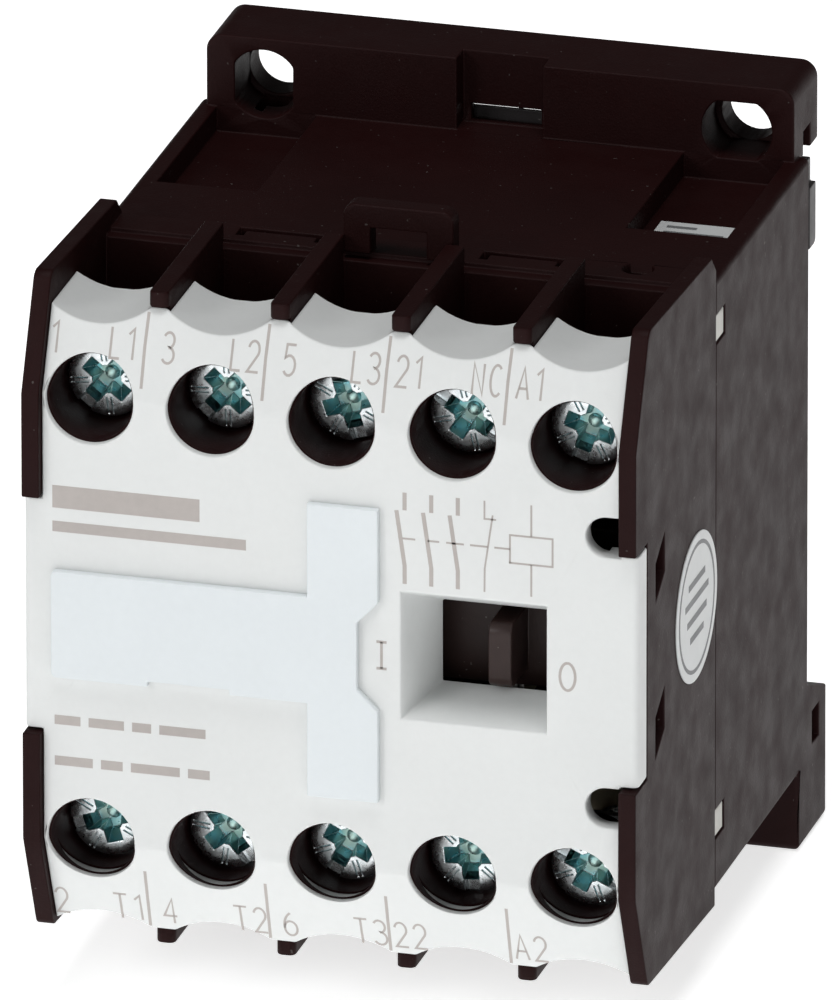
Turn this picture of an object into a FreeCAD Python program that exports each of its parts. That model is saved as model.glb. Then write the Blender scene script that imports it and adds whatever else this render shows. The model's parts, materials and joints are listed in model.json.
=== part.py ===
import FreeCAD, Part

import math
import os

# Mini contactor for a 35 mm mounting rail: three main poles, one auxiliary pole and a coil.
# Millimetres. X runs to the right, Y to the back (the panel is the plane Y = 0), Z up.
# Heights are drawn from the foot's underside; export() moves every piece down by RAIL_Z, so
# that the origin is the middle of the screw pattern, on the rail's centre line.

# ---- driving dimensions -------------------------------------------------------------------
WIDTH = 45.0
HEIGHT = 58.0
DEPTH = 52.0
RAIL_Z = 29.5                 # rail centre line above the foot's underside
HOLE_SPAN_X = 35.0
HOLE_SPAN_Z = 50.0
HOLE_R = 2.15                 # clearance for an M4 screw
PITCH = 8.85                  # spacing of the five terminals
TERMINAL_MID = 30.25          # height half-way between the two terminal rows
TERMINAL_RISE = 16.7          # each row's distance from that height
CONTACT_TRAVEL = 2.5
LATCH_TRAVEL = 2.4

HALF_W = WIDTH / 2
WALL = 1.3                    # front housing side wall
WALL_IN = HALF_W - WALL
RIB = 1.4                     # partition between two terminals
CELL_HALF = (PITCH - RIB) / 2

# planes along Y, from the back to the front
BACK_Y = -5.15                # face that the rail lies on
FLANGE_Y = -6.5
FOOT_Y = -7.4
SEAM_Y = -30.4                # rear housing meets front housing
BAY_Y = -34.4                 # back of the wire bays
STRIP_Y = -39.2               # front face of the terminal strips
STRIP_T = 1.0
WASHER_Y = -43.05             # back face of the clamping washers
HEAD_Y = -46.7                # front face of the screw heads
FACE_Y = -51.3                # front face of the cover
FRONT_Y = -DEPTH

# heights
BODY_LOW, BODY_TOP = 5.9, 52.5
COVER_LOW, COVER_TOP = 6.1, 53.5
BAND_LOW, BAND_TOP = 21.8, 39.3          # full-width band of the cover
BREAK_LOW, BREAK_TOP = 13.5, 47.3        # where the front starts to slope back
SLOPE = math.tan(math.radians(23.5))

COVER_T = 1.5
COVER_BACK = -42.2                       # back edge of the cover's top and bottom lips

# contact system
CARRIER_Z = (TERMINAL_MID - 5.05, TERMINAL_MID + 5.05)
CARRIER_BACK_Y = -35.5
CARRIER_FRONT_Y = -42.5
SLOT_Y = (-41.2, -36.8)
CONTACT_Y = -39.0
BLADE_T = 1.0
TIP_T = 0.5

# magnet
MAGNET_Y = (-22.0, -14.0)
MAGNET_Z = 29.5
LEG_END = 5.55
ARMATURE_X = (8.9, 14.9)

POLES = [PITCH * (i - 2) for i in range(5)]
ROWS = {"top": 1, "bottom": -1}
NORMALLY_CLOSED = 3           # index of the auxiliary pole
COIL_POLE = 4


# ---- helpers ------------------------------------------------------------------------------
def box(x, y, z):
    """A block between the given (low, high) pairs."""
    return Part.makeBox(x[1] - x[0], y[1] - y[0], z[1] - z[0], FreeCAD.Vector(x[0], y[0], z[0]))


def cylinder(axis, centre, radius, start, end):
    """A round bar along an axis, centred on the other two coordinates."""
    base = {"x": (start, *centre), "y": (centre[0], start, centre[1]), "z": (*centre, start)}[axis]
    way = {"x": (1, 0, 0), "y": (0, 1, 0), "z": (0, 0, 1)}[axis]
    return Part.makeCylinder(radius, end - start, FreeCAD.Vector(*base), FreeCAD.Vector(*way))


def prism(plane, points, start, end):
    """A closed outline in the xy, xz or yz plane, swept along the third axis."""
    place = {
        "yz": lambda a, b: FreeCAD.Vector(start, a, b),
        "xz": lambda a, b: FreeCAD.Vector(a, start, b),
        "xy": lambda a, b: FreeCAD.Vector(a, b, start),
    }[plane]
    way = {
        "yz": FreeCAD.Vector(end - start, 0, 0),
        "xz": FreeCAD.Vector(0, end - start, 0),
        "xy": FreeCAD.Vector(0, 0, end - start),
    }[plane]
    corners = [place(a, b) for a, b in points]
    return Part.Face(Part.makePolygon(corners + corners[:1])).extrude(way)


def join(shapes):
    """One solid from pieces that touch or overlap."""
    return shapes[0].multiFuse(shapes[1:]).removeSplitter()


def carve(shape, tools):
    return shape.cut(tools)


def mirror_x(shape):
    return shape.mirror(FreeCAD.Vector(0, 0, 0), FreeCAD.Vector(1, 0, 0))


def flip_row(shape):
    """The same shape for the other terminal row."""
    return shape.mirror(FreeCAD.Vector(0, 0, TERMINAL_MID), FreeCAD.Vector(0, 0, 1))


def round_edges(shape, radius, wanted):
    """Rounds the straight edges that wanted(middle, direction) picks."""
    edges = []
    for edge in shape.Edges:
        if isinstance(edge.Curve, Part.Line) and wanted(edge.CenterOfMass, edge.Curve.Direction):
            edges.append(edge)
    return shape.makeFillet(radius, edges)


def side_pair(x_low, x_high):
    """The same stretch on the left and on the right of the middle."""
    return [(x_low, x_high), (-x_high, -x_low)]


def grown(pair, amount):
    return pair[0] - amount, pair[1] + amount


def coil_spring(radius, wire, turns, length):
    """A round-wire spring standing on the XY plane: half turns, tilted to and fro, end to end."""
    rise = (length - wire) / (2 * turns)
    halves = []
    for i in range(int(2 * turns)):
        side = 1 if i % 2 == 0 else -1
        low = wire / 2 + i * rise
        start = FreeCAD.Vector(side * radius, 0, low)
        middle = FreeCAD.Vector(0, 0, low + rise / 2)
        section = Part.Face(Part.Wire(Part.makeCircle(wire / 2, start, FreeCAD.Vector(0, 1, 0))))
        axis = (start - middle).cross(FreeCAD.Vector(0, side, 0))
        halves.append(section.revolve(middle, axis, 180))
    return join(halves)


def spring_along_x(spring, x, y, z):
    """Lays a spring along +X from the given point."""
    spring.rotate(FreeCAD.Vector(0, 0, 0), FreeCAD.Vector(0, 1, 0), 90)
    spring.translate(FreeCAD.Vector(x, y, z))
    return spring


def export(node, shape):
    shape = shape.copy()
    shape.translate(FreeCAD.Vector(0, 0, -RAIL_Z))
    if not shape.isValid():
        print("not valid:", node)
    box_size = shape.BoundBox
    print(f"{node:24s} solids {len(shape.Solids)}  {box_size.XLength:.2f} x {box_size.YLength:.2f}"
          f" x {box_size.ZLength:.2f}  {shape.Volume:.1f} mm3")
    shape.exportStep(f"parts/{node}.step")


def terminal_z(row):
    return TERMINAL_MID + ROWS[row] * TERMINAL_RISE


# ---- rear housing: magnet chamber, rail foot and upper flange ------------------------------
FLANGE_LOW = 52.1
FLANGE_HALF = 21.75           # the flange is a little narrower than the body
GROOVE_HALF = 3.2
GROOVE_Y = -4.7
SHELL_Y = -3.9                # back of the thin flange wall
TONGUE_HALF = 6.0
CHAMBER_X = 20.9
CHAMBER_Z = (7.7, 48.9)
NOTCH_Z = (9.9, 47.6)
NOTCH_H = 2.2
SPRING_X = 10.5
SPRING_TOP = 57.0
LATCH_Y = (-3.8, -2.1)
LATCH_Z = (44.9, 51.4)
EAR_X = (20.4, 21.8)


def mounting_hole(x, z, front_y, flats_upright):
    """Round bore at the back, and at the front a wider bore between two flats."""
    bore = cylinder("y", (x, z), HOLE_R, -2.6, 0.1)
    wide = cylinder("y", (x, z), 2.6, front_y - 0.1, -2.5)
    half_x, half_z = (HOLE_R, 3.0) if flats_upright else (3.0, HOLE_R)
    slab = box((x - half_x, x + half_x), (front_y - 1, -2.4), (z - half_z, z + half_z))
    return [bore, wide.common(slab)]


def rear_housing():
    body = box((-HALF_W, HALF_W), (SEAM_Y, BACK_Y), (BODY_LOW, BODY_TOP))
    body = round_edges(body, 0.5, lambda m, d: abs(d.y) > 0.9)
    body = carve(body, [box((-CHAMBER_X, CHAMBER_X), (SEAM_Y - 1, -7.0), CHAMBER_Z)])
    flange = box((-FLANGE_HALF, FLANGE_HALF), (FLANGE_Y, 0), (FLANGE_LOW, HEIGHT))
    flange = round_edges(flange, 1.2, lambda m, d: abs(d.y) > 0.9 and m.z > HEIGHT - 0.1)
    foot = prism("yz", [(FOOT_Y, 0), (0, 0), (0, 10.2), (BACK_Y, 12.1), (FOOT_Y, 12.1)],
                 -HALF_W, HALF_W)
    foot = round_edges(foot, 0.6, lambda m, d: m.z < 0.1)
    hooks = [box((a, b), (-3.9, -2.1), (10.0, 13.5)) for a, b in side_pair(9.0, 15.0)]
    guides = [box((a, b), (BACK_Y - 0.1, -3.9), (48.2, 52.2)) for a, b in side_pair(16.0, 18.0)]
    keepers = [box((a, b), (-2.0, 0), (49.4, 52.2)) for a, b in side_pair(15.0, 19.5)]
    pads = []
    for z in (14.0, 42.0):
        pads.append(box((-19.0, -14.5), (MAGNET_Y[1], -6.9), (z, z + 3.5)))
    housing = join([body, flange, foot, *hooks, *guides, *keepers, *pads])

    cuts = [
        box((-13.6, 13.6), (SHELL_Y, 0.1), (FLANGE_LOW - 0.1, SPRING_TOP)),
        box((-GROOVE_HALF, GROOVE_HALF), (FLANGE_Y - 0.1, GROOVE_Y), (BODY_TOP, HEIGHT + 0.1)),
        box((-2.6, 2.6), (GROOVE_Y - 0.1, SHELL_Y + 0.1), (52.6, 53.9)),
    ]
    for a, b in side_pair(SPRING_X - 2.0, SPRING_X + 2.0):
        cuts.append(box((a, b), (-4.6, SHELL_Y + 0.1), (FLANGE_LOW - 0.1, SPRING_TOP)))
    for a, b in side_pair(13.6, 21.0):
        cuts.append(box((a, b), (-22.0, FLANGE_Y), (50.6, BODY_TOP + 0.1)))
        cuts.append(box((a, b), (-22.0, FOOT_Y), (BODY_LOW - 0.1, 8.4 - 0.9)))
    for z in NOTCH_Z:
        for a, b in side_pair(CHAMBER_X - 0.4, HALF_W + 0.1):
            cuts.append(box((a, b), (SEAM_Y - 0.1, SEAM_Y + 2.4), (z, z + NOTCH_H)))
    for a, b in side_pair(EAR_X[0] - 0.1, HALF_W):
        cuts.append(box((a, b), grown(LATCH_Y, 0.1), (FLANGE_LOW - 0.1, LATCH_Z[1] + LATCH_TRAVEL + 0.1)))
    for a, b in side_pair(HALF_W - 1.5, HALF_W + 0.1):
        cuts.append(box((a, b), (-3.8, -1.9), (7.0, 9.5)))
    for a, b in side_pair(1.2, 6.6) + side_pair(7.8, 13.2):
        cuts.append(box((a, b), (-4.4, 0.1), (1.4, 9.0)))
    for z in (RAIL_Z - HOLE_SPAN_Z / 2, RAIL_Z + HOLE_SPAN_Z / 2):
        front = FOOT_Y if z < RAIL_Z else FLANGE_Y
        for x in (-HOLE_SPAN_X / 2, HOLE_SPAN_X / 2):
            cuts += mounting_hole(x, z, front, flats_upright=x < 0)
    return carve(housing, cuts)


# ---- rail latch and its springs -----------------------------------------------------------
SHOULDER_Z = FLANGE_LOW - LATCH_TRAVEL - 0.1
SEAT_Z = LATCH_Z[1]
TONGUE_TOP = 53.35


def rail_latch():
    """Sliding plate behind the rail's upper edge, with a ramped tongue in the flange's slit."""
    plate = box((-22.2, 22.2), LATCH_Y, (LATCH_Z[0], SHOULDER_Z))
    plate = round_edges(plate, 0.5, lambda m, d: abs(d.x) > 0.9 and m.z < 45.5 and m.y > -3)
    head = box((-13.4, 13.4), LATCH_Y, (SHOULDER_Z - 0.1, LATCH_Z[1]))
    ears = [box((a, b), LATCH_Y, (SHOULDER_Z - 0.1, LATCH_Z[1])) for a, b in side_pair(*EAR_X)]
    tongue = prism("yz", [(-3.5, LATCH_Z[1] - 0.1), (-3.5, TONGUE_TOP), (-3.2, TONGUE_TOP),
                          (LATCH_Y[1], 52.6), (LATCH_Y[1], LATCH_Z[1] - 0.1)],
                   -TONGUE_HALF, TONGUE_HALF)
    pip = box((0.55, 0.85), (-3.5, -3.2), (TONGUE_TOP - 0.1, TONGUE_TOP + 0.25))
    pegs = [cylinder("z", (x, sum(LATCH_Y) / 2), 0.5, SEAT_Z - 0.1, SEAT_Z + 1.0)
            for x in (-SPRING_X, SPRING_X)]
    return join([plate, head, *ears, tongue, pip, *pegs])


def latch_springs():
    springs = []
    for x in (-SPRING_X, SPRING_X):
        spring = coil_spring(0.95, 0.3, 6, SPRING_TOP - SEAT_Z - 0.1)
        spring.translate(FreeCAD.Vector(x, sum(LATCH_Y) / 2, SEAT_Z + 0.05))
        springs.append(spring)
    return Part.makeCompound(springs)


# ---- magnet system --------------------------------------------------------------------------
LEG_HALF = 4.0
YOKE_X = (-19.0, -14.4)
OUTER_LEG = (12.9, 17.4)      # distances of the outer legs from the magnet's middle
RING_X = (4.3, 5.2)
TUBE_WALL = 0.9
FLANGE_X = ((-13.9, -12.9), (3.9, 4.9))
WINDING_DEPTH = 4.0


def outer_legs():
    return [(MAGNET_Z + OUTER_LEG[0], MAGNET_Z + OUTER_LEG[1]),
            (MAGNET_Z - OUTER_LEG[1], MAGNET_Z - OUTER_LEG[0])]


def magnet_core():
    low, high = MAGNET_Z - OUTER_LEG[1], MAGNET_Z + OUTER_LEG[1]
    yoke = box(YOKE_X, MAGNET_Y, (low, high))
    legs = [box((YOKE_X[1] - 0.1, LEG_END), MAGNET_Y, (MAGNET_Z - LEG_HALF, MAGNET_Z + LEG_HALF))]
    slots = []
    for z in outer_legs():
        legs.append(box((YOKE_X[1] - 0.1, LEG_END), MAGNET_Y, z))
        slots.append(box((RING_X[0] - 0.05, LEG_END + 0.1), (-18.35, -17.45), (z[0] - 0.1, z[1] + 0.1)))
    rivets = [cylinder("y", (-16.7, z), 1.1, MAGNET_Y[0] - 0.4, MAGNET_Y[0] + 0.1)
              for z in (low + 2.2, MAGNET_Z, high - 2.2)]
    return join([carve(join([yoke, *legs]), slots), *rivets])


def shading_rings():
    rings = []
    for z in outer_legs():
        outer = box(RING_X, (MAGNET_Y[0] - 0.8, -17.5), (z[0] - 0.55, z[1] + 0.55))
        inner = box((RING_X[0] - 1, RING_X[1] + 1), (MAGNET_Y[0], -18.35), z)
        rings.append(carve(outer, [inner]))
    return Part.makeCompound(rings)


def tube_block(x, grow):
    """A block round the centre leg, grown on its four sides."""
    return box(x, (MAGNET_Y[0] - grow, MAGNET_Y[1] + grow),
               (MAGNET_Z - LEG_HALF - grow, MAGNET_Z + LEG_HALF + grow))


def coil_bobbin():
    tube = tube_block((FLANGE_X[0][0], FLANGE_X[1][1]), 0.1 + TUBE_WALL)
    flanges = [box(x, (-28.0, -8.2), (MAGNET_Z - 12.0, MAGNET_Z + 12.0)) for x in FLANGE_X]
    flanges = [round_edges(f, 1.0, lambda m, d: abs(d.x) > 0.9) for f in flanges]
    hole = tube_block((FLANGE_X[0][0] - 1, FLANGE_X[1][1] + 1), 0.1)
    return carve(join([tube, *flanges]), [hole])


def coil_winding():
    x = (FLANGE_X[0][1], FLANGE_X[1][0])
    outer = tube_block(x, 0.1 + TUBE_WALL + WINDING_DEPTH)
    outer = round_edges(outer, 2.0, lambda m, d: abs(d.x) > 0.9)
    return carve(outer, [tube_block((x[0] - 1, x[1] + 1), 0.1 + TUBE_WALL)])


def damping_pad():
    return box((-CHAMBER_X, YOKE_X[0]), (-21.0, -15.0), (MAGNET_Z - 9.0, MAGNET_Z + 9.0))


def armature():
    plate = box(ARMATURE_X, MAGNET_Y, (MAGNET_Z - OUTER_LEG[1], MAGNET_Z + OUTER_LEG[1]))
    return carve(plate, [cylinder("y", PIN_AT, PIN_R + 0.05, MAGNET_Y[0] - 1, MAGNET_Y[1] + 1)])


# ---- contact carrier: ladder bar, indicator tab and the yoke that holds the armature --------
PIN_AT = (12.0, MAGNET_Z)
PIN_R = 1.0
CHEEK_Z = (CARRIER_Z[0], CARRIER_Z[1] - 2.0)
TAB_X = (10.3, 12.0)
TAB_Z = (26.5, 31.4)
TAB_Y = -46.9
RETURN_SPRING_X = (13.99, 20.0)
OPEN_SLOT = (1.25, 5.5)       # slot of a normally open pole, from the pole's middle
CLOSED_SLOT = (-3.05, 2.1)    # slot of the normally closed pole


def carrier_slots():
    slots = [(x + OPEN_SLOT[0], x + OPEN_SLOT[1]) for x in POLES[:NORMALLY_CLOSED]]
    middle = POLES[NORMALLY_CLOSED]
    slots.append((middle + CLOSED_SLOT[0], middle + CLOSED_SLOT[1]))
    slots.append((12.5, RETURN_SPRING_X[1]))
    return slots


def contact_carrier():
    bar = box((-17.7, 21.1), (CARRIER_FRONT_Y, CARRIER_BACK_Y), CARRIER_Z)
    tab = box(TAB_X, (TAB_Y, CARRIER_FRONT_Y + 0.1), TAB_Z)
    tab = round_edges(tab, 0.9, lambda m, d: m.y < TAB_Y + 0.1 and abs(d.x) > 0.9)
    arm = box((9.0, 17.2), (CARRIER_BACK_Y - 0.1, MAGNET_Y[0] - 0.1), CHEEK_Z)
    back_plate = box((15.0, 17.2), (MAGNET_Y[0] - 0.2, -12.0), CHEEK_Z)
    rear_cheek = box((9.0, 15.1), (MAGNET_Y[1] + 0.1, -12.0), CHEEK_Z)
    carrier = join([bar, tab, arm, back_plate, rear_cheek])
    cuts = [box(x, SLOT_Y, (CARRIER_Z[0] - 0.1, CARRIER_Z[1] + 0.1)) for x in carrier_slots()]
    cuts.append(cylinder("y", PIN_AT, PIN_R + 0.05, MAGNET_Y[0] - 3.0, -11.9))
    cuts.append(box((11.2, 17.3), (-31.5, -25.5), (CHEEK_Z[0] + 2.0, CHEEK_Z[1] - 2.0)))
    return carve(carrier, cuts)


def armature_pin():
    return cylinder("y", PIN_AT, PIN_R, MAGNET_Y[0] - 2.9, -12.0)


def return_spring():
    length = RETURN_SPRING_X[1] - RETURN_SPRING_X[0] - 0.1
    spring = coil_spring(1.6, 0.4, 5.5, length)
    return spring_along_x(spring, RETURN_SPRING_X[0] + 0.05, CONTACT_Y, sum(CARRIER_Z) / 2)


# ---- moving contacts ------------------------------------------------------------------------
BRIDGE_T = 0.8
BRIDGE_HALF = 8.1             # half height of a bridge
BOSS_T = 0.8                  # boss that centres the contact spring
TIP_REACH = 6.4               # height of the tips from the middle
TIP_R = 1.2


def bridge_place(pole):
    """Low X of the bridge plate, and the side that its tips face."""
    if pole == NORMALLY_CLOSED:
        return POLES[pole] + 1.25 - BRIDGE_T, 1
    return POLES[pole] + 1.3, -1


def contact_bridge(pole):
    x, side = bridge_place(pole)
    plate = box((x, x + BRIDGE_T), (-41.0, -37.0), (TERMINAL_MID - BRIDGE_HALF, TERMINAL_MID + BRIDGE_HALF))
    plate = round_edges(plate, 1.2, lambda m, d: abs(d.x) > 0.9)
    start = x - BOSS_T if side > 0 else x + BRIDGE_T - 0.1
    boss = cylinder("x", (CONTACT_Y, TERMINAL_MID), 0.8, start, start + BOSS_T + 0.1)
    return join([plate, boss])


def bridge_tips():
    tips = []
    for pole in range(COIL_POLE):
        x, side = bridge_place(pole)
        start = x + BRIDGE_T if side > 0 else x - TIP_T
        for z in (-TIP_REACH, TIP_REACH):
            tips.append(cylinder("x", (CONTACT_Y, TERMINAL_MID + z), TIP_R, start, start + TIP_T))
    return Part.makeCompound(tips)


def contact_springs():
    springs = []
    for pole in range(COIL_POLE):
        x, side = bridge_place(pole)
        low, high = (x - 3.45, x) if side > 0 else (x + BRIDGE_T, POLES[pole] + OPEN_SLOT[1])
        spring = coil_spring(1.3, 0.35, 4, high - low - 0.1)
        springs.append(spring_along_x(spring, low + 0.05, CONTACT_Y, TERMINAL_MID))
    return Part.makeCompound(springs)


# ---- terminal strips, screws and washers ------------------------------------------------------
STRIP_HALF = 3.3
STRIP_REACH = 3.5             # half height of the clamping field
HEAD_R = 2.9
HEAD_T = 2.4
SHANK_R = 1.75
SHANK_END = -37.4
WASHER_T = 1.15


def fixed_tip_place(pole):
    """Low X of a fixed tip, and the side of its blade."""
    if pole == NORMALLY_CLOSED:
        return POLES[pole] + 1.8, 1
    open_face = bridge_place(pole)[0] - TIP_T - CONTACT_TRAVEL - 0.02
    return open_face - TIP_T, -1


def terminal_strip(pole, row):
    """Clamping field with a tapped boss, and a blade down to the contact or back to the coil."""
    x, z = POLES[pole], terminal_z("top")
    back = STRIP_Y + STRIP_T
    field = box((x - STRIP_HALF, x + STRIP_HALF), (STRIP_Y, back), (z - STRIP_REACH, z + STRIP_REACH))
    boss = cylinder("y", (x, z), 2.7, back - 0.1, back + 1.2)
    pieces = [field, boss]
    if pole == COIL_POLE:
        pieces.append(box((x - 1.2, x + 1.2), (STRIP_Y, -26.8), (z - STRIP_REACH - 0.8, z - STRIP_REACH)))
        pieces.append(box((x - 1.2, x + 1.2), (STRIP_Y, back), (z - STRIP_REACH - 0.8, z - 2.0)))
    else:
        tip, side = fixed_tip_place(pole)
        start = tip + TIP_T if side > 0 else tip - BLADE_T
        foot = TERMINAL_MID + TIP_REACH - 1.3
        pieces.append(box((start, start + BLADE_T), (STRIP_Y - 1.3, back + 0.3), (foot, z - STRIP_REACH)))
        pieces.append(box((start, start + BLADE_T), (STRIP_Y, back), (z - STRIP_REACH - 0.1, z - 2.0)))
    strip = join(pieces)
    strip = carve(strip, [cylinder("y", (x, z), SHANK_R + 0.06, STRIP_Y - 1, back + 2)])
    return strip if row == "top" else flip_row(strip)


def fixed_tips():
    tips = []
    for pole in range(COIL_POLE):
        start = fixed_tip_place(pole)[0]
        for z in (-TIP_REACH, TIP_REACH):
            tips.append(cylinder("x", (CONTACT_Y, TERMINAL_MID + z), TIP_R, start, start + TIP_T))
    return Part.makeCompound(tips)


def clamp_screw(x, z):
    """Combination head with a cross recess and a slot, on a plain shank."""
    head = cylinder("y", (x, z), HEAD_R, HEAD_Y, HEAD_Y + HEAD_T)
    head = head.makeFillet(0.35, [e for e in head.Edges if e.CenterOfMass.y < HEAD_Y + 0.01 and e.Closed])
    shank = cylinder("y", (x, z), SHANK_R, HEAD_Y + HEAD_T - 0.1, SHANK_END)
    shank = shank.makeChamfer(0.4, [e for e in shank.Edges if e.CenterOfMass.y > SHANK_END - 0.01])
    screw = join([head, shank])
    recess = [
        box((x - HEAD_R - 0.1, x + HEAD_R + 0.1), (HEAD_Y - 0.1, HEAD_Y + 0.9), (z - 0.5, z + 0.5)),
        box((x - 1.8, x + 1.8), (HEAD_Y - 0.1, HEAD_Y + 1.5), (z - 0.55, z + 0.55)),
        box((x - 0.55, x + 0.55), (HEAD_Y - 0.1, HEAD_Y + 1.5), (z - 1.8, z + 1.8)),
    ]
    return carve(screw, recess)


def clamp_washer(x, z):
    """Square washer under the head, with two ribs that bite the wire."""
    front = WASHER_Y - WASHER_T
    plate = box((x - 3.25, x + 3.25), (front, WASHER_Y - 0.25), (z - 3.1, z + 3.1))
    plate = round_edges(plate, 0.6, lambda m, d: abs(d.y) > 0.9)
    ribs = [box((x + dx - 0.25, x + dx + 0.25), (WASHER_Y - 0.3, WASHER_Y), (z - 2.8, z + 2.8))
            for dx in (-2.6, 2.6)]
    washer = join([plate, *ribs])
    return carve(washer, [cylinder("y", (x, z), SHANK_R + 0.06, front - 1, WASHER_Y + 1)])


# ---- coil leads and partition plate -----------------------------------------------------------
LEAD_R = 0.3
TAIL_SLOT_Z = (terminal_z("top") - 4.55, terminal_z("top") - 3.25)


def coil_leads():
    """Enamelled wires from the coil terminals' tails to the bobbin's flange."""
    leads = []
    for row in ROWS:
        x, z = POLES[COIL_POLE], terminal_z("top") - STRIP_REACH - 0.8 - LEAD_R
        corner = FreeCAD.Vector(7.0, -27.4, 42.0)
        points = [FreeCAD.Vector(x - 1.0, -27.4, z), corner, FreeCAD.Vector(5.25, -27.4, 39.5)]
        pieces = []
        for start, end in zip(points, points[1:]):
            pieces.append(Part.makeCylinder(LEAD_R, (end - start).Length, start, end - start))
        pieces.append(Part.makeSphere(LEAD_R, corner))
        lead = join(pieces)
        leads.append(lead if row == "top" else flip_row(lead))
    return Part.makeCompound(leads)


def partition_plate():
    """Light plate between the magnet chamber and the contact chamber, held by four side tabs."""
    plate = box((-CHAMBER_X + 0.1, CHAMBER_X - 0.1), (SEAM_Y + 0.1, -28.9),
                (CHAMBER_Z[0] + 0.1, CHAMBER_Z[1] - 0.1))
    tabs = []
    for z in NOTCH_Z:
        low = max(z + 0.1, CHAMBER_Z[0] + 0.1)
        for a, b in side_pair(CHAMBER_X - 0.2, HALF_W - 0.1):
            tabs.append(box((a, b), (SEAM_Y + 0.1, SEAM_Y + 2.3), (low, z + NOTCH_H - 0.1)))
    slots = [box((5.3, 17.5), (SEAM_Y - 1, -28.0), (CHEEK_Z[0] - 0.3, CHEEK_Z[1] + 0.3))]
    tail = box((POLES[COIL_POLE] - 1.4, POLES[COIL_POLE] + 1.4), (SEAM_Y - 1, -28.0), TAIL_SLOT_Z)
    slots += [tail, flip_row(tail)]
    return carve(join([plate, *tabs]), slots)


# ---- front housing ----------------------------------------------------------------------------
RIB_TOP = 54.8
RIB_FRONT = -48.2
RIB_LOW = 4.8
PLATE_TOP = 53.2
NOSE_FRONT = -48.95           # rib noses reach over the cover's top edge
NOSE_LOW_FRONT = -47.6        # and a little under its lower one


def side_wall():
    """Right-hand wall: sloped ends, and a set-back edge along the cover's band."""
    top_y = FRONT_Y + (55.4 - BREAK_TOP) * SLOPE
    low_y = FRONT_Y + (BREAK_LOW - 5.7) * SLOPE
    outline = [
        (SEAM_Y, 4.8), (SEAM_Y, 53.3), (-31.6, 54.6), (top_y, 55.4),
        (FRONT_Y, BREAK_TOP), (FRONT_Y, BREAK_LOW), (low_y, 5.7),
    ]
    wall = prism("yz", outline, WALL_IN, HALF_W)
    wall = round_edges(wall, 0.9, lambda m, d: abs(d.x) > 0.9 and m.y < -45 and (m.z > 54 or m.z < 7))
    band = box((WALL_IN - 1, HALF_W + 1), (FRONT_Y - 1, -48.9), (BAND_LOW - 0.2, BAND_TOP + 0.2))
    slots = []
    for z in ((34.8, 38.0), (22.9, 26.3)):
        outline = [(-46.6, z[0] - 0.6), (-44.2, z[0] + 0.9), (-44.2, z[1] + 0.6), (-46.6, z[1] - 0.9)]
        slots.append(prism("yz", outline, WALL_IN - 0.6, HALF_W + 1))
    return carve(wall, [band, *slots])


def terminal_rib(x):
    """Partition between two terminals, with a rounded front end above the cover."""
    half = RIB / 2
    inner_y = -43.6
    front = FACE_Y + COVER_T + 0.15
    nose_low = COVER_TOP + 0.12
    upper = [(BAY_Y + 0.1, 35.9), (BAY_Y + 0.1, RIB_TOP), (NOSE_FRONT, RIB_TOP), (NOSE_FRONT, nose_low),
             (RIB_FRONT, nose_low), (RIB_FRONT, 50.5), (front, 46.9), (front, 41.0), (inner_y, 39.0),
             (inner_y, 35.9)]
    nose_top = COVER_LOW - 0.12
    lower = [(BAY_Y + 0.1, 25.2), (BAY_Y + 0.1, RIB_LOW), (NOSE_LOW_FRONT, RIB_LOW), (NOSE_LOW_FRONT, nose_top),
             (-46.9, nose_top), (-46.9, 8.95), (-47.4, 8.95), (front, 14.0), (front, 19.8),
             (inner_y, 21.8), (inner_y, 25.2)]
    pieces = [prism("yz", outline, x - half, x + half) for outline in (upper, lower)]
    rounded = []
    for piece in pieces:
        rounded.append(round_edges(piece, 0.5, lambda m, d: abs(d.x) < 0.1 and (
            m.y < NOSE_FRONT + 0.1 and m.z > 52.0 or m.y < NOSE_LOW_FRONT + 0.1 and m.z < 7.0)))
    return rounded


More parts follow.
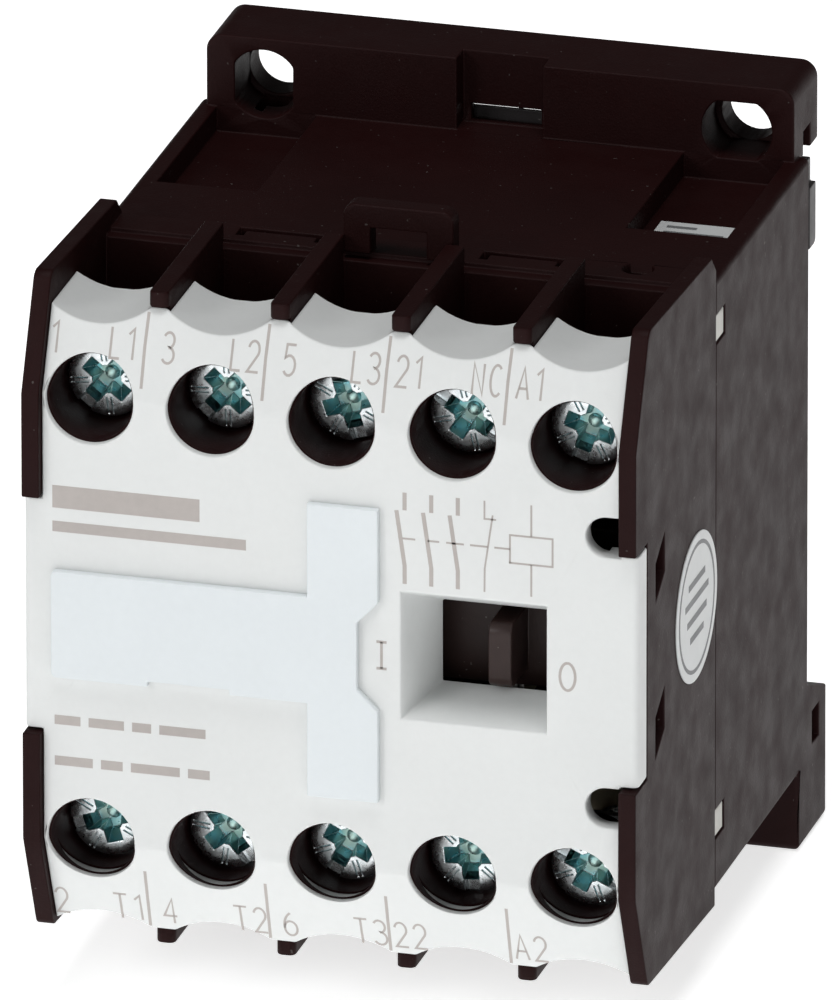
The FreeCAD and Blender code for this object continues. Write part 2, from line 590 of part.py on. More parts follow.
def front_housing():
    wall = side_wall()
    shell = [wall, mirror_x(wall)]
    shell.append(box((-WALL_IN - 0.1, WALL_IN + 0.1), (BAY_Y, -32.6), (6.6, PLATE_TOP)))
    shell.append(box((-WALL_IN - 0.1, WALL_IN + 0.1), (BAY_Y, SEAM_Y), (51.7, PLATE_TOP)))
    shell.append(box((-WALL_IN - 0.1, WALL_IN + 0.1), (BAY_Y, SEAM_Y), (6.6, 7.8)))
    rib_middles = [(a + b) / 2 for a, b in zip(POLES, POLES[1:])]
    for x in rib_middles:
        shell += terminal_rib(x)
    post = rib_middles[-1]
    shell.append(box((post - RIB / 2, post + RIB / 2), (-40.9, -37.1), (25.0, 36.1)))
    ledge_z = terminal_z("top") - 3.3
    for row in ROWS:
        for x in POLES:
            ledge = box((x - CELL_HALF - 0.1, x + CELL_HALF + 0.1), (STRIP_Y + STRIP_T, BAY_Y + 0.1),
                        (ledge_z, ledge_z + 0.6))
            shell.append(ledge if row == "top" else flip_row(ledge))
    loop = box((-3.9, 4.2), (-34.0, -32.4), (PLATE_TOP - 0.1, 57.0))
    loop = round_edges(loop, 0.9, lambda m, d: abs(d.y) > 0.9 and m.z > 56)
    shell.append(loop)
    housing = join(shell)

    cuts = [
        box((-1.9, 2.2), (-34.5, -31.5), (PLATE_TOP, 55.3)),
        box((5.3, 17.5), (BAY_Y - 1, -32.0), (CHEEK_Z[0] - 0.3, CHEEK_Z[1] + 0.3)),
        cylinder("z", (17.0, -31.3), 1.15, 50.0, 53.5),
    ]
    tail = box((POLES[COIL_POLE] - 1.4, POLES[COIL_POLE] + 1.4), (BAY_Y - 4.0, -32.0), TAIL_SLOT_Z)
    cuts += [tail, flip_row(tail)]
    for row in ROWS:
        for x in POLES:
            cuts.append(cylinder("y", (x, terminal_z(row)), 2.1, BAY_Y - 1, BAY_Y + 0.9))
    for x_low, x_high in ((-12.3, -5.9), (5.6, 11.8)):
        slit = [(x_low, -32.4), (x_low, -30.9), (x_high, -30.9), (x_high, -32.4),
                (x_high - 0.6, -32.4), (x_high - 0.6, -31.5), (x_low + 0.6, -31.5), (x_low + 0.6, -32.4)]
        cuts.append(prism("xy", slit, 51.0, 53.5))
    cuts.append(box((-WALL_IN, WALL_IN), (BAY_Y - 0.1, BAY_Y + 1.0), (PLATE_TOP - 0.35, PLATE_TOP + 0.1)))
    return carve(housing, cuts)


# ---- front cover and marker plate ---------------------------------------------------------------
HOLE_FACE_R = 3.22
SCALLOP_R = 6.2
SCALLOP_TOP, SCALLOP_LOW = 1.35, 1.1
WINDOW_X, WINDOW_FACE_Z = (5.1, 15.8), (25.3, 35.0)
WINDOW_IN_X, WINDOW_IN_Z = (6.7, 15.0), (26.3, 32.4)
WINDOW_IN_Y = -45.6
CUTOUT_X, CUTOUT_Z, CUTOUT_R = 20.15, (20.1, 40.6), 1.5
MARKER_T = 0.6
PEG_AT = ((-17.0, 30.0), (1.0, 37.5), (1.0, 22.5))
PEG_R = 0.7


def cover_outline(inset):
    """Front profile, moved inward by inset on the face, the slopes, the top and the bottom."""
    face = FACE_Y + inset
    back = COVER_BACK + (1.0 if inset else 0.0)
    top, low = COVER_TOP - inset, COVER_LOW + inset
    shift = inset * SLOPE / 2
    return [
        (back, low), (back, top), (face + (top - BREAK_TOP + shift) * SLOPE, top),
        (face, BREAK_TOP - shift), (face, BREAK_LOW + shift),
        (face + (BREAK_LOW + shift - low) * SLOPE, low),
    ]


def frustum(front_x, front_z, front_y, back_x, back_z, back_y):
    """A four-sided funnel between two upright rectangles."""
    wires = []
    for x, z, y in ((front_x, front_z, front_y), (back_x, back_z, back_y)):
        corners = [(x[0], z[0]), (x[1], z[0]), (x[1], z[1]), (x[0], z[1])]
        points = [FreeCAD.Vector(a, y, b) for a, b in corners]
        wires.append(Part.makePolygon(points + points[:1]))
    return Part.makeLoft(wires, True, True)


def front_cover():
    edge = WALL_IN - 0.05
    skin = carve(prism("yz", cover_outline(0), -edge, edge),
                 [prism("yz", cover_outline(COVER_T), -edge - 1, edge + 1)])
    band = box((-HALF_W, HALF_W), (FACE_Y, -49.0), (BAND_LOW, BAND_TOP))
    band = round_edges(band, 0.5, lambda m, d: abs(d.z) > 0.9 and m.y < FACE_Y + 0.1)
    inside = box((-edge + 1.2, edge - 1.2), (FACE_Y + COVER_T, -48.0), (BAND_LOW - 1, BAND_TOP + 1))
    band = carve(band, [inside])
    funnel = frustum(grown(WINDOW_X, 0.8), grown(WINDOW_FACE_Z, 0.8), FACE_Y + 0.5,
                     grown(WINDOW_IN_X, 0.8), grown(WINDOW_IN_Z, 0.8), WINDOW_IN_Y)
    legs = []
    for a, b in side_pair(20.2, 21.1):
        legs.append(box((a, b), (FACE_Y + 1.0, -44.0), (28.5, 32.5)))
    cover = join([skin, band, funnel, *legs])

    cuts = [frustum(WINDOW_X, WINDOW_FACE_Z, FACE_Y - 0.01, WINDOW_IN_X, WINDOW_IN_Z, WINDOW_IN_Y + 0.01)]
    for row in ROWS:
        z = terminal_z(row)
        for x in POLES:
            cuts.append(cylinder("y", (x, z), HOLE_FACE_R, FACE_Y - 1, FACE_Y + 4))
    for x in POLES:
        top = cylinder("y", (x, COVER_TOP - SCALLOP_TOP + SCALLOP_R), SCALLOP_R, FACE_Y - 1, COVER_BACK + 1)
        low = cylinder("y", (x, COVER_LOW + SCALLOP_LOW - SCALLOP_R), SCALLOP_R, FACE_Y - 1, COVER_BACK + 1)
        cuts += [top, low]
    half = RIB / 2 + 0.06
    for a, b in zip(POLES, POLES[1:]):
        x = (a + b) / 2
        cuts.append(box((x - half, x + half), (-48.45, COVER_BACK + 1), (COVER_TOP - 4, COVER_TOP + 1)))
        cuts.append(box((x - half, x + half), (-47.0, COVER_BACK + 1), (COVER_LOW - 1, COVER_LOW + 2.5)))
    for z in CUTOUT_Z:
        cuts.append(cylinder("y", (CUTOUT_X, z), CUTOUT_R, FACE_Y - 1, FACE_Y + 4))
        cuts.append(box((CUTOUT_X, edge + 0.1), (FACE_Y - 1, FACE_Y + 4), (z - CUTOUT_R, z + CUTOUT_R)))
    for x, z in PEG_AT:
        cuts.append(cylinder("y", (x, z), PEG_R + 0.05, FACE_Y - 1, FACE_Y + 3))
    return carve(cover, cuts)


COLLAR_IN, COLLAR_OUT = 3.1, 3.6
COLLAR_Y = (-49.6, -45.0)


def driver_collars():
    """Ten round collars behind the cover's holes, which guide the screwdriver onto the screws."""
    between_walls = prism("yz", cover_outline(COVER_T), -WALL_IN, WALL_IN)
    collars = []
    for row in ROWS:
        for x in POLES:
            at = (x, terminal_z(row))
            collar = cylinder("y", at, COLLAR_OUT, *COLLAR_Y).common(between_walls)
            collars.append(carve(collar, [cylinder("y", at, COLLAR_IN, *grown(COLLAR_Y, 1))]))
    return Part.makeCompound(collars)


def marker_plate():
    """T-shaped plate on the cover, with a notch for a finger nail and three pegs."""
    bar = prism("xz", [
        (-1.6, 18.95), (3.6, 18.95), (3.6, 25.9), (2.05, 27.4), (2.05, 32.45), (3.6, 34.1),
        (3.6, 41.15), (-1.6, 41.15),
    ], FACE_Y - MARKER_T, FACE_Y)
    arm = box((-20.4, -1.5), (FACE_Y - MARKER_T, FACE_Y), (26.0, 34.1))
    arm = round_edges(arm, 0.4, lambda m, d: abs(d.y) > 0.9 and m.x < -20)
    notch = box((-13.3, -7.3), (FACE_Y - MARKER_T - 1, FACE_Y + 1), (25.0, 26.4))
    pegs = [cylinder("y", at, PEG_R, FACE_Y - 0.1, FACE_Y + 2.0) for at in PEG_AT]
    return join([carve(join([bar, arm]), [notch]), *pegs])


# ---- labels -------------------------------------------------------------------------------------
def coil_label():
    return box((14.5, 20.5), (-21.6, -15.9), (50.6, 50.85))


def side_label():
    return cylinder("x", (-35.9, 29.8), 5.5, HALF_W, HALF_W + 0.1)


# ---- build ----------------------------------------------------------------------------------------
def main():
    os.makedirs("parts", exist_ok=True)
    single_pieces = [
        rear_housing, front_housing, front_cover, driver_collars, marker_plate, rail_latch, latch_springs,
        partition_plate, contact_carrier, armature, armature_pin, magnet_core, shading_rings,
        coil_bobbin, coil_winding, coil_leads, damping_pad, return_spring, contact_springs,
        bridge_tips, fixed_tips, coil_label, side_label,
    ]
    for make in single_pieces:
        export(make.__name__, make())
    for pole in range(COIL_POLE):
        export(f"contact_bridge_{pole + 1}", contact_bridge(pole))
    for row in ROWS:
        for pole in range(len(POLES)):
            name = f"{row}_{pole + 1}"
            x, z = POLES[pole], terminal_z(row)
            export(f"terminal_strip_{name}", terminal_strip(pole, row))
            export(f"clamp_screw_{name}", clamp_screw(x, z))
            export(f"clamp_washer_{name}", clamp_washer(x, z))


main()
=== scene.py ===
import json
import math

import bmesh
import bpy
from mathutils import Matrix, Vector


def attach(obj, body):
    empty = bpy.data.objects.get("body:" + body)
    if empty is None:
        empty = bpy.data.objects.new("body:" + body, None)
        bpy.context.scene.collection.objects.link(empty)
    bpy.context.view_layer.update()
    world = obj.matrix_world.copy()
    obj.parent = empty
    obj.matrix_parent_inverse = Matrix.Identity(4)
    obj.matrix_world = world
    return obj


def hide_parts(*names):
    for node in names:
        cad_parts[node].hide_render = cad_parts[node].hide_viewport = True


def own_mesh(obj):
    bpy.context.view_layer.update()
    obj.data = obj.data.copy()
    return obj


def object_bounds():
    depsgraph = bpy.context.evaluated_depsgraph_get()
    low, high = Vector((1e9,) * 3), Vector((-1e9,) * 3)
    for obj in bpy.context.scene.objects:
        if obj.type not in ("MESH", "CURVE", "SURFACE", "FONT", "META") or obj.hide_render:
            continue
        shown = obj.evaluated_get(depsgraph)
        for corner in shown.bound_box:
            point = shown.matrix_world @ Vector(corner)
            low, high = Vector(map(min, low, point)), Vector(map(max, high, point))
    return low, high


# Finished look of the mini contactor: softened mouldings, detailed screws and springs, printed
# marks and procedural materials. Sizes are in millimetres and heights are measured from the
# foot's underside; at() turns them into the frame's metres, whose origin is on the rail's centre.

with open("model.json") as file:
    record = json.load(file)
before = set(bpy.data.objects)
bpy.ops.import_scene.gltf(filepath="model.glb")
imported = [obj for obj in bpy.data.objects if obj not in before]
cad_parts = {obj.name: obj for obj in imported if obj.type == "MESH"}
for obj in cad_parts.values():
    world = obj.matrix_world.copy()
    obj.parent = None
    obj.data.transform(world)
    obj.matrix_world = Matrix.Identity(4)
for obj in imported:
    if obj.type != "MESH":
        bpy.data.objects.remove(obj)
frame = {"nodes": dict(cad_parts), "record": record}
cad_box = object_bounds()

MM = 0.001
RAIL_Z = 29.5
PITCH = 8.85
POLES = [PITCH * (i - 2) for i in range(5)]
ROW_Z = {"top": 46.95, "bottom": 13.55}
CONTACT_Y, CONTACT_Z = -39.0, 30.25
FACE_Y = -51.3
BREAK_LOW, BREAK_TOP = 13.5, 47.3
SLOPE = math.tan(math.radians(23.5))


def at(x, y, z):
    return Vector((x, y, z - RAIL_Z)) * MM


# ---- node helpers ---------------------------------------------------------------------------
def start_material(name):
    material = bpy.data.materials.new(name)
    material.use_nodes = True
    tree = material.node_tree
    return material, tree, tree.nodes["Principled BSDF"]


def noise(tree, per_mm, detail=3.0, stretch=(1, 1, 1)):
    """Noise in the piece's own space, with about per_mm features to the millimetre."""
    place = tree.nodes.new("ShaderNodeTexCoord")
    size = tree.nodes.new("ShaderNodeMapping")
    size.inputs["Scale"].default_value = stretch
    texture = tree.nodes.new("ShaderNodeTexNoise")
    texture.inputs["Scale"].default_value = per_mm / MM
    texture.inputs["Detail"].default_value = detail
    tree.links.new(place.outputs["Object"], size.inputs["Vector"])
    tree.links.new(size.outputs["Vector"], texture.inputs["Vector"])
    return texture.outputs["Fac"]


def ramp(tree, value, *stops):
    """Colours or grey levels spread over a value: each stop is (place, colour or level)."""
    node = tree.nodes.new("ShaderNodeValToRGB")
    elements = node.color_ramp.elements
    while len(elements) < len(stops):
        elements.new(0.5)
    for element, (place, colour) in zip(elements, stops):
        element.position = place
        element.color = (*colour, 1) if isinstance(colour, tuple) else (colour, colour, colour, 1)
    tree.links.new(value, node.inputs["Fac"])
    return node.outputs["Color"]


def mix(tree, share, first, second, blend="MIX"):
    node = tree.nodes.new("ShaderNodeMix")
    node.data_type = "RGBA"
    node.blend_type = blend
    for socket, source in ((node.inputs[0], share), (node.inputs[6], first), (node.inputs[7], second)):
        if isinstance(source, bpy.types.NodeSocket):
            tree.links.new(source, socket)
        else:
            socket.default_value = (*source, 1) if isinstance(source, tuple) else source
    return node.outputs[2]


def bump(tree, shader, layers):
    """Stacks bump layers, each (height value, depth in millimetres), onto the shader's normal."""
    normal = None
    for height, depth in layers:
        node = tree.nodes.new("ShaderNodeBump")
        node.inputs["Distance"].default_value = depth * MM
        node.inputs["Strength"].default_value = 1.0
        tree.links.new(height, node.inputs["Height"])
        if normal:
            tree.links.new(normal, node.inputs["Normal"])
        normal = node.outputs["Normal"]
    tree.links.new(normal, shader.inputs["Normal"])


def scaled(colour, factor):
    return tuple(min(1.0, channel * factor) for channel in colour)


# ---- materials ------------------------------------------------------------------------------
def plastic(name, colour, spread, rough, grain_mm, specks=0.0, shine=0.35):
    """Moulded plastic: cloudy colour, eroded-tool grain, scuffs in the gloss, stray dust."""
    material, tree, shader = start_material(name)
    shader.inputs["Specular IOR Level"].default_value = shine
    clouds = noise(tree, 0.09, 4)
    mottle = noise(tree, 1.6, 3)
    base = ramp(tree, clouds, (0.3, scaled(colour, 1 - spread)), (0.7, scaled(colour, 1 + spread)))
    fine = ramp(tree, mottle, (0.25, 1 - spread), (0.75, 1.0))
    base = mix(tree, 1.0, base, fine, "MULTIPLY")
    if specks:
        dust = ramp(tree, noise(tree, 2.6, 1), (0.765, 0.0), (0.79, specks))
        base = mix(tree, dust, base, (0.42, 0.40, 0.38))
    tree.links.new(base, shader.inputs["Base Color"])
    gloss = ramp(tree, noise(tree, 0.35, 5), (0.3, rough - 0.06), (0.7, rough + 0.08))
    tree.links.new(gloss, shader.inputs["Roughness"])
    layers = [(noise(tree, 6.5, 2), grain_mm), (noise(tree, 0.22, 2), grain_mm * 1.4)]
    bump(tree, shader, layers)
    return material


def metal(name, colour, second, rough, brushed=(1, 1, 1), depth=0.004, per_mm=5.0):
    """Metal with a patchy tint, a drawn or stamped grain and smudges."""
    material, tree, shader = start_material(name)
    tint = ramp(tree, noise(tree, 0.9, 4), (0.35, colour), (0.65, second))
    tree.links.new(tint, shader.inputs["Base Color"])
    shader.inputs["Metallic"].default_value = 1.0
    grain = noise(tree, per_mm, 3, brushed)
    gloss = ramp(tree, noise(tree, 1.8, 4), (0.3, rough), (0.75, rough + 0.18))
    tree.links.new(gloss, shader.inputs["Roughness"])
    bump(tree, shader, [(grain, depth)])
    return material


def sheets(name, colour):
    """Steel sheet stack: fine dark joints between the sheets, along Y."""
    material, tree, shader = start_material(name)
    place = tree.nodes.new("ShaderNodeTexCoord")
    wave = tree.nodes.new("ShaderNodeTexWave")
    wave.bands_direction = "Y"
    wave.inputs["Scale"].default_value = 0.32 / MM
    wave.inputs["Distortion"].default_value = 0.4
    tree.links.new(place.outputs["Object"], wave.inputs["Vector"])
    joints = ramp(tree, wave.outputs["Fac"], (0.0, scaled(colour, 0.45)), (0.3, colour))
    spots = ramp(tree, noise(tree, 0.8, 4), (0.45, 0.75), (0.6, 1.0))
    tree.links.new(mix(tree, 1.0, joints, spots, "MULTIPLY"), shader.inputs["Base Color"])
    shader.inputs["Metallic"].default_value = 0.9
    tree.links.new(ramp(tree, noise(tree, 2.0, 3), (0.3, 0.32), (0.7, 0.52)), shader.inputs["Roughness"])
    bump(tree, shader, [(wave.outputs["Fac"], 0.02), (noise(tree, 4.0, 2), 0.004)])
    return material


MATERIALS = {
    "housing_plastic": plastic("housing_plastic", (0.0138, 0.0028, 0.0028), 0.10, 0.52, 0.022, 0.12, 0.10),
    "cover_plastic": plastic("cover_plastic", (0.70, 0.715, 0.71), 0.022, 0.46, 0.006, shine=0.25),
    "marker_plastic": plastic("marker_plastic", (0.69, 0.73, 0.75), 0.02, 0.40, 0.005, shine=0.25),
    "partition_plastic": plastic("partition_plastic", (0.55, 0.54, 0.50), 0.05, 0.45, 0.008),
    "carrier_plastic": plastic("carrier_plastic", (0.030, 0.016, 0.014), 0.15, 0.42, 0.010, 0.2, 0.3),
    "latch_plastic": plastic("latch_plastic", (0.030, 0.026, 0.027), 0.15, 0.42, 0.012, 0.2, 0.3),
    "bobbin_plastic": plastic("bobbin_plastic", (0.40, 0.33, 0.22), 0.08, 0.38, 0.008),
    "pad_rubber": plastic("pad_rubber", (0.030, 0.030, 0.032), 0.2, 0.75, 0.03, 0.2),
    "label": plastic("label", (0.60, 0.615, 0.615), 0.03, 0.34, 0.004),
    "core_steel": sheets("core_steel", (0.42, 0.42, 0.43)),
    "copper": metal("copper", (0.76, 0.38, 0.22), (0.62, 0.28, 0.15), 0.26, (1, 1, 8)),
    "winding": metal("winding", (0.55, 0.20, 0.08), (0.42, 0.13, 0.05), 0.22, (6, 1, 1)),
    "silver": metal("silver", (0.86, 0.85, 0.83), (0.70, 0.69, 0.67), 0.24),
    "terminal_metal": metal("terminal_metal", (0.70, 0.61, 0.44), (0.58, 0.50, 0.36), 0.30, (1, 1, 7)),
    "zinc_screw": metal("zinc_screw", (0.84, 0.87, 0.88), (0.68, 0.74, 0.76), 0.20, depth=0.006),
    "zinc_washer": metal("zinc_washer", (0.62, 0.65, 0.67), (0.48, 0.52, 0.54), 0.27, (8, 1, 1)),
    "spring_steel": metal("spring_steel", (0.60, 0.60, 0.61), (0.42, 0.42, 0.44), 0.25, (1, 6, 1)),
}
# Darker, teal-tinted zinc for the screw heads' slot and cross: the darkening is painted shade in the
# recess.
RECESS_PAINTED_SHADE = metal("zinc_recess_painted_shade", (0.26, 0.54, 0.60), (0.40, 0.55, 0.50), 0.24, depth=0.008)
PRINT = plastic("print_ink", (0.44, 0.405, 0.385), 0.06, 0.5, 0.003)
LABEL_PRINT = plastic("label_ink", (0.16, 0.165, 0.17), 0.08, 0.45, 0.003)

NODE_SLOT = {part["node"]: part["material_slot"] for part in frame["record"]["subparts"]}
NODE_BODY = {}
for body, nodes in frame["record"]["behaviour"]["bodies"].items():
    for node in nodes:
        NODE_BODY[node] = body


# ---- mesh helpers ---------------------------------------------------------------------------
def finish_mesh(bm, name, smooth=40.0):
    mesh = bpy.data.meshes.new(name)
    bmesh.ops.recalc_face_normals(bm, faces=bm.faces)
    bm.to_mesh(mesh)
    bm.free()
    mesh.shade_smooth()
    mesh.set_sharp_from_angle(angle=math.radians(smooth))
    return mesh


def add_object(name, mesh, *materials):
    piece = bpy.data.objects.new(name, mesh)
    bpy.context.scene.collection.objects.link(piece)
    for material in materials:
        mesh.materials.append(material)
    return piece


def stand_for(piece, node):
    """The piece takes the place of a CAD node, on the node's body."""
    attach(piece, NODE_BODY[node])
    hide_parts(node)


def join_housing(piece):
    """The piece is an extra one, carried by the housing."""
    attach(piece, "housing")


def bridge(bm, first, second):
    """Faces between two closed loops with the same number of points."""
    count = len(first)
    for i in range(count):
        j = (i + 1) % count
        bm.faces.new((first[i], first[j], second[j], second[i]))


def softened(node, width):
    """The node's shape with its sharp edges rounded off, in place of the CAD mesh."""
    fold = math.radians(32)
    bm = bmesh.new()
    bm.from_mesh(frame["nodes"][node].data)
    bmesh.ops.remove_doubles(bm, verts=bm.verts, dist=0.002 * MM)
    sharp = [e for e in bm.edges if e.is_manifold and e.calc_face_angle() > fold]
    bmesh.ops.bevel(bm, geom=sharp, offset=width * MM, offset_type="OFFSET", segments=2,
                    profile=0.5, affect="EDGES", clamp_overlap=False)
    piece = add_object(f"{node}_moulding", finish_mesh(bm, f"{node}_moulding"),
                       MATERIALS[NODE_SLOT[node]])
    weighted = piece.modifiers.new("even_shading", "WEIGHTED_NORMAL")
    weighted.keep_sharp = True
    stand_for(piece, node)


def lathe(bm, profile, steps):
    """Turns an (r, z) profile about Z. Its ends are on the axis."""
    rings = []
    for r, z in profile:
        if r == 0:
            rings.append([bm.verts.new((0, 0, z))])
            continue
        ring = []
        for i in range(steps):
            a = 2 * math.pi * i / steps
            ring.append(bm.verts.new((r * math.cos(a), r * math.sin(a), z)))
        rings.append(ring)
    for lower, upper in zip(rings, rings[1:]):
        for i in range(steps):
            j = (i + 1) % steps
            corners = [lower[i % len(lower)], lower[j % len(lower)],
                       upper[j % len(upper)], upper[i % len(upper)]]
            bm.faces.new(list(dict.fromkeys(corners)))


def block(bm, top, bottom, z_top, z_bottom):
    """A tapered block: half sizes (x, y) at the top and at the bottom."""
    signs = ((-1, -1), (1, -1), (1, 1), (-1, 1))
    upper = [bm.verts.new((u * top[0], v * top[1], z_top)) for u, v in signs]
    lower = [bm.verts.new((u * bottom[0], v * bottom[1], z_bottom)) for u, v in signs]
    bm.faces.new(upper)
    bm.faces.new(lower[::-1])
    for i in range(4):
        j = (i + 1) % 4
        bm.faces.new((upper[j], upper[i], lower[i], lower[j]))
    return upper + lower


def subtract(mesh, cutters):
    """Cuts closed meshes out of another one, and returns the result."""
    target = bpy.data.objects.new("cut_target", mesh)
    bpy.context.scene.collection.objects.link(target)
    tools = []
    for cutter in cutters:
        tool = bpy.data.objects.new("cut_tool", cutter)
        bpy.context.scene.collection.objects.link(tool)
        tools.append(tool)
        modifier = target.modifiers.new("cut", "BOOLEAN")
        modifier.operation = "DIFFERENCE"
        modifier.solver = "EXACT"
        modifier.object = tool
    view = bpy.context.evaluated_depsgraph_get()
    result = bpy.data.meshes.new_from_object(target.evaluated_get(view))
    for thing in [target, *tools]:
        bpy.data.objects.remove(thing)
    return result


def tube_along(bm, points, radius):
    """A round bar along points, with closed ends."""
    sides = 10
    rings = []
    side = None
    for i, point in enumerate(points):
        ahead = points[min(i + 1, len(points) - 1)] - points[max(i - 1, 0)]
        ahead.normalize()
        if side is None:
            side = ahead.orthogonal().normalized()
        side = (side - ahead * side.dot(ahead)).normalized()
        up = ahead.cross(side)
        ring = []
        for k in range(sides):
            a = 2 * math.pi * k / sides
            ring.append(bm.verts.new(point + (side * math.cos(a) + up * math.sin(a)) * radius))
        rings.append(ring)
    for lower, upper in zip(rings, rings[1:]):
        bridge(bm, lower, upper)
    bm.faces.new(rings[0][::-1])
    bm.faces.new(rings[-1])


def spring(bm, start, axis, length, radius, wire, turns):
    """A compression spring with closed end turns, from start along axis, in millimetres."""
    way = Vector(axis)
    across = way.orthogonal().normalized()
    other = way.cross(across)
    steps = int(turns * 24)
    points = []
    closed = 0.75 / turns
    flat = 0.35
    for i in range(steps + 1):
        t = i / steps
        if t < closed:
            rise = t * flat
        elif t > 1 - closed:
            rise = 1 - (1 - t) * flat
        else:
            rise = closed * flat + (t - closed) / (1 - 2 * closed) * (1 - 2 * flat * closed)
        a = 2 * math.pi * turns * t
        centre = way * (wire / 2 + (length - wire) * rise)
        spot = centre + (across * math.cos(a) + other * math.sin(a)) * radius
        points.append(at(*start) + spot * MM)
    tube_along(bm, points, wire / 2 * MM)


# ---- clamping screws ------------------------------------------------------------------------
HEAD_R, HEAD_T = 2.9, 2.4
SHANK_R, THREAD_DEPTH, THREAD_PITCH = 1.74, 0.26, 0.6
SHANK_END = -9.3
HEAD_Y = -46.7
TURNED = {"top": (52, 47, 108, 148, 72), "bottom": (17, 128, 64, 95, 155)}


def thread(bm):
    """Screw thread as one helical skin, with a chamfered tip and its start inside the head."""
    around, per_pitch = 28, 6
    start = -HEAD_T + 0.3
    length = start - SHANK_END
    rows = int(length / THREAD_PITCH * per_pitch)
    rings = []
    for i in range(rows + 1):
        z = start - length * i / rows
        tip = min(1.0, (z - SHANK_END) / 0.5)
        ring = []
        for k in range(around):
            turn = k / around
            phase = (-z / THREAD_PITCH + turn) % 1.0
            r = SHANK_R - THREAD_DEPTH * abs(2 * phase - 1)
            r = min(r, SHANK_R - 0.45 * (1 - tip))
            a = 2 * math.pi * turn
            ring.append(bm.verts.new((r * math.cos(a), r * math.sin(a), z)))
        rings.append(ring)
    for lower, upper in zip(rings, rings[1:]):
        bridge(bm, lower, upper)
    bm.faces.new(rings[0])
    bm.faces.new(rings[-1][::-1])


def slanted_block(top, bottom, z_top, z_bottom, shift=(0, 0, 0), turn=0):
    """A cutter: a tapered block, shifted and then turned about Z by some degrees."""
    bm = bmesh.new()
    corners = block(bm, top, bottom, z_top, z_bottom)
    bmesh.ops.translate(bm, verts=corners, vec=shift)
    bmesh.ops.rotate(bm, verts=corners, matrix=Matrix.Rotation(math.radians(turn), 3, "Z"))
    return finish_mesh(bm, "cutter")


def head_cutters():
    """A full slot, a cross with a pointed floor, and two ticks in each quadrant."""
    above = 0.2
    cutters = [slanted_block((3.4, 0.60), (3.4, 0.50), above, -0.75)]
    for turn in (0, 90):
        cutters.append(slanted_block((1.95, 0.62), (1.15, 0.45), above, -1.55, turn=turn))
    point = bmesh.new()
    lathe(point, [(0, above), (1.12, above), (0.62, -1.5), (0, -1.95)], 24)
    cutters.append(finish_mesh(point, "cutter"))
    for quadrant in range(4):
        for offset in (-0.17, 0.17):
            cutters.append(slanted_block((0.62, 0.055), (0.62, 0.03), above, -0.13,
                                         (2.0, offset, 0), 45 + 90 * quadrant))
    return cutters


def in_recess(face):
    """Whether a face of the head is a floor or a wall of the slot and the cross."""
    middle = face.calc_center_median()
    if not -HEAD_T + 0.2 < middle.z < -0.012 or math.hypot(middle.x, middle.y) >= 2.3:
        return False
    return abs(face.normal.z) < 0.97 or middle.z < -0.3


def screw_mesh():
    """Combination head screw: zinc outside, with a darker, teal-tinted zinc in the recess, whose darkness
    is painted shade in the slot and cross.
    """
    head = bmesh.new()
    lathe(head, [(0, 0), (1.2, 0), (2.2, -0.02), (2.6, -0.07), (2.8, -0.2), (HEAD_R, -0.42),
                 (HEAD_R, -HEAD_T + 0.12), (2.78, -HEAD_T), (0, -HEAD_T)], 64)
    body = subtract(finish_mesh(head, "screw_head"), head_cutters())
    bm = bmesh.new()
    bm.from_mesh(body)
    for face in bm.faces:
        # The slot and cross faces get the darker recess material, which is painted shade.
        face.material_index = 1 if in_recess(face) else 0
    sharp = [e for e in bm.edges if e.is_manifold and e.calc_face_angle() > math.radians(40)]
    bmesh.ops.bevel(bm, geom=sharp, offset=0.035, segments=1, affect="EDGES", clamp_overlap=False)
    thread(bm)
    bmesh.ops.scale(bm, vec=(MM, MM, MM), verts=bm.verts)
    mesh = finish_mesh(bm, "clamp_screw", 28.0)
    mesh.materials.append(MATERIALS["zinc_screw"])
    mesh.materials.append(RECESS_PAINTED_SHADE)
    return mesh


def place_screws():
    mesh = screw_mesh()
    forward = Matrix.Rotation(math.radians(90), 4, "X")
    for row, z in ROW_Z.items():
        for i, x in enumerate(POLES):
            piece = add_object(f"screw_{row}_{i + 1}", mesh)
            turn = Matrix.Rotation(math.radians(TURNED[row][i]), 4, "Z")
            piece.matrix_world = Matrix.Translation(at(x, HEAD_Y, z)) @ forward @ turn
            stand_for(piece, f"clamp_screw_{row}_{i + 1}")


def collar_mouths():
    """The collars' dark mouths, which line the cover's holes up to just behind its face."""
    outer, inner = 3.2, 3.06
    depth, back_y = 0.5, -49.4
    steps = 64
    bm = bmesh.new()

    def ring(x, z, radius, surface):
        angles = [2 * math.pi * i / steps for i in range(steps)]
        return [bm.verts.new(surface(x + radius * math.cos(a), z + radius * math.sin(a))) for a in angles]

    def front(x, z):
        return cover_front(x, z, -depth)

    def back(x, z):
        return at(x, back_y, z)

    for z in ROW_Z.values():
        for x in POLES:
            rings = [ring(x, z, inner, front), ring(x, z, outer, front),
                     ring(x, z, outer, back), ring(x, z, inner, back)]
            for first, second in zip(rings, rings[1:] + rings[:1]):
                bridge(bm, first, second)
    piece = add_object("collar_mouths", finish_mesh(bm, "collar_mouths"), MATERIALS["housing_plastic"])
    join_housing(piece)


# ---- springs and winding --------------------------------------------------------------------
BREAK_POLE = 3                # the pole whose contact opens when the carrier moves


def spring_piece(name, coils):
    """One piece of spring steel, made of a spring for each set of coil dimensions."""
    bm = bmesh.new()
    for coil in coils:
        spring(bm, *coil)
    return add_object(name, finish_mesh(bm, name), MATERIALS["spring_steel"])


